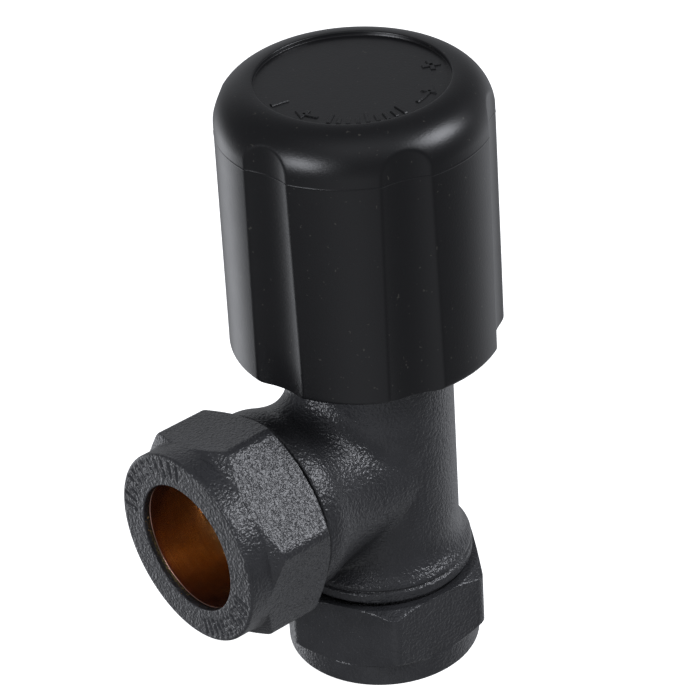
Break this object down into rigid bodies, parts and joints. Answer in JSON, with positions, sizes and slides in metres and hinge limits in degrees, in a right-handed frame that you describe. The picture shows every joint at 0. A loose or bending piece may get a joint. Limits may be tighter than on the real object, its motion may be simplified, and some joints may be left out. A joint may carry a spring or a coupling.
{
  "type": "angle lockshield radiator valve",
  "caption": "Angle radiator valve with a fluted push-on lockshield cap over a rising spindle, a compression nut and olive on the pipe inlet and another pair on the side branch.",
  "frame": {"origin": "centre of the lower compression nut's outer face, on the spindle axis", "axes": "+Z is the spindle axis, up through the cap; -Z is the way the pipe leaves; -Y is the way the radiator tail leaves the side branch; +X completes the right-handed frame"},
  "size_m": [0.031, 0.0433, 0.0741],
  "materials": {
    "powder_coat": "black fine-textured powder coat on brass",
    "cap_plastic": "satin black moulded ABS with a fine grain",
    "nylon": "natural nylon",
    "ptfe": "white PTFE",
    "brass": "machined brass",
    "copper": "bright turned copper",
    "steel": "stainless spring steel",
    "rubber": "EPDM"
  },
  "bodies": {
    "root": {"valve_body": "powder_coat", "bonnet": "brass", "bonnet_o_ring": "rubber", "backing_washer": "ptfe", "gland_nut": "brass"},
    "stopper": {"stopper": "brass", "seat_washer": "rubber", "washer_screw": "steel", "swivel_clip": "steel"},
    "spindle": {"spindle": "brass", "spindle_o_ring_lower": "rubber", "spindle_o_ring_upper": "rubber", "spindle_circlip": "steel"},
    "cap_sleeve": {"cap_sleeve": "nylon", "cap_spring_ring": "steel"},
    "cap": {"cap": "cap_plastic"},
    "pipe_olive": {"pipe_olive": "copper"},
    "pipe_nut": {"pipe_nut": "powder_coat"},
    "tail_olive": {"tail_olive": "copper"},
    "tail_nut": {"tail_nut": "powder_coat"}
  },
  "joints": [
    {"name": "cap_pull", "type": "slide", "parent": "root", "child": "cap_sleeve", "axis": [0, 0, 1], "range_m": [0, 0.032]},
    {"name": "cap_turn", "type": "hinge", "parent": "cap_sleeve", "child": "cap", "pos_m": [0, 0, 0.055], "axis": [0, 0, 1], "continuous": true},
    {"name": "stopper_lift", "type": "slide", "parent": "root", "child": "stopper", "axis": [0, 0, 1], "range_m": [0, 0.0045]},
    {"name": "spindle_turn", "type": "hinge", "parent": "stopper", "child": "spindle", "pos_m": [0, 0, 0.025], "axis": [0, 0, 1], "range_deg": [0, 1080]},
    {"name": "pipe_olive_travel", "type": "slide", "parent": "root", "child": "pipe_olive", "axis": [0, 0, -1], "range_m": [0, 0.0101]},
    {"name": "pipe_nut_turn", "type": "hinge", "parent": "pipe_olive", "child": "pipe_nut", "pos_m": [0, 0, 0], "axis": [0, 0, -1], "range_deg": [0, 1980]},
    {"name": "tail_olive_travel", "type": "slide", "parent": "root", "child": "tail_olive", "axis": [0, -1, 0], "range_m": [0, 0.0101]},
    {"name": "tail_nut_turn", "type": "hinge", "parent": "tail_olive", "child": "tail_nut", "pos_m": [0, -0.02775, 0.0261], "axis": [0, -1, 0], "range_deg": [0, 1980]}
  ],
  "couplings": [
    {"joint": "spindle_turn", "follows": "stopper_lift", "rad_per_m": 4188.8},
    {"joint": "pipe_olive_travel", "follows": "pipe_nut_turn", "m_per_rad": 0.00028871},
    {"joint": "tail_olive_travel", "follows": "tail_nut_turn", "m_per_rad": 0.00028871}
  ]
}
